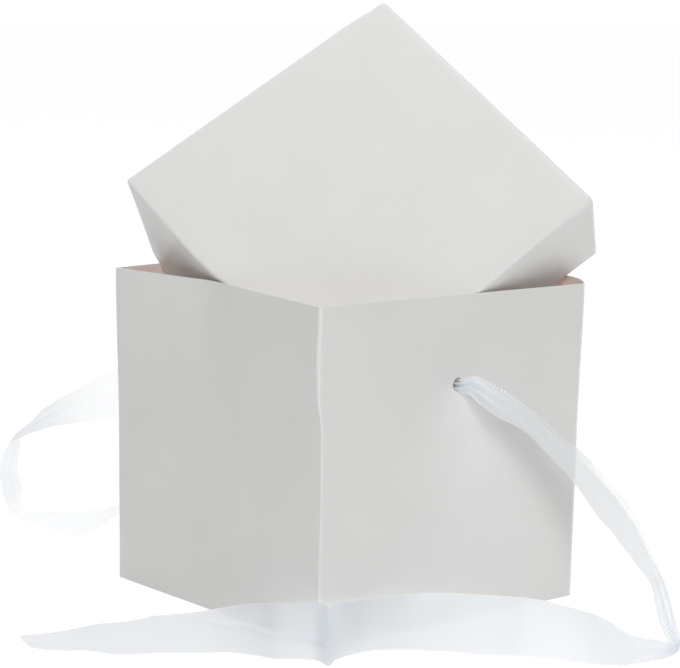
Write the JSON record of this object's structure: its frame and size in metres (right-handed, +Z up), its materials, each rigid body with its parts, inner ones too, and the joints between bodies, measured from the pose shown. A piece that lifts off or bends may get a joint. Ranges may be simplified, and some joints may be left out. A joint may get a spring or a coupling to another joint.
{
  "type": "gift box with lift-off lid",
  "caption": "Square folded-card gift box standing open, its lift-off lid leaning corner down in the mouth, with sheer ribbons knotted through opposite walls.",
  "frame": {"origin": "middle of the base, on the surface that the box stands on", "axes": "+Z up; the walls lie along X and Y, with the ribbon holes in the walls at -Y (front right) and +Y (back left)"},
  "size_m": [0.2606, 0.3451, 0.2695],
  "materials": {
    "white_card": "matte",
    "peach_paper": "matte",
    "organza": "satin"
  },
  "bodies": {
    "box": {"wall_sheet": "white_card", "bottom_tray": "white_card", "wall_lining": "peach_paper", "floor_liner": "peach_paper", "ribbon_right": "organza", "ribbon_left": "organza", "knot_right": "organza", "knot_left": "organza"},
    "lid": {"lid_sheet": "white_card", "lid_lining": "peach_paper"}
  },
  "joints": [
    {"name": "lid_lift", "type": "slide", "parent": "box", "child": "lid", "axis": [0, 0, 1], "range_m": [0, 0.12]}
  ]
}
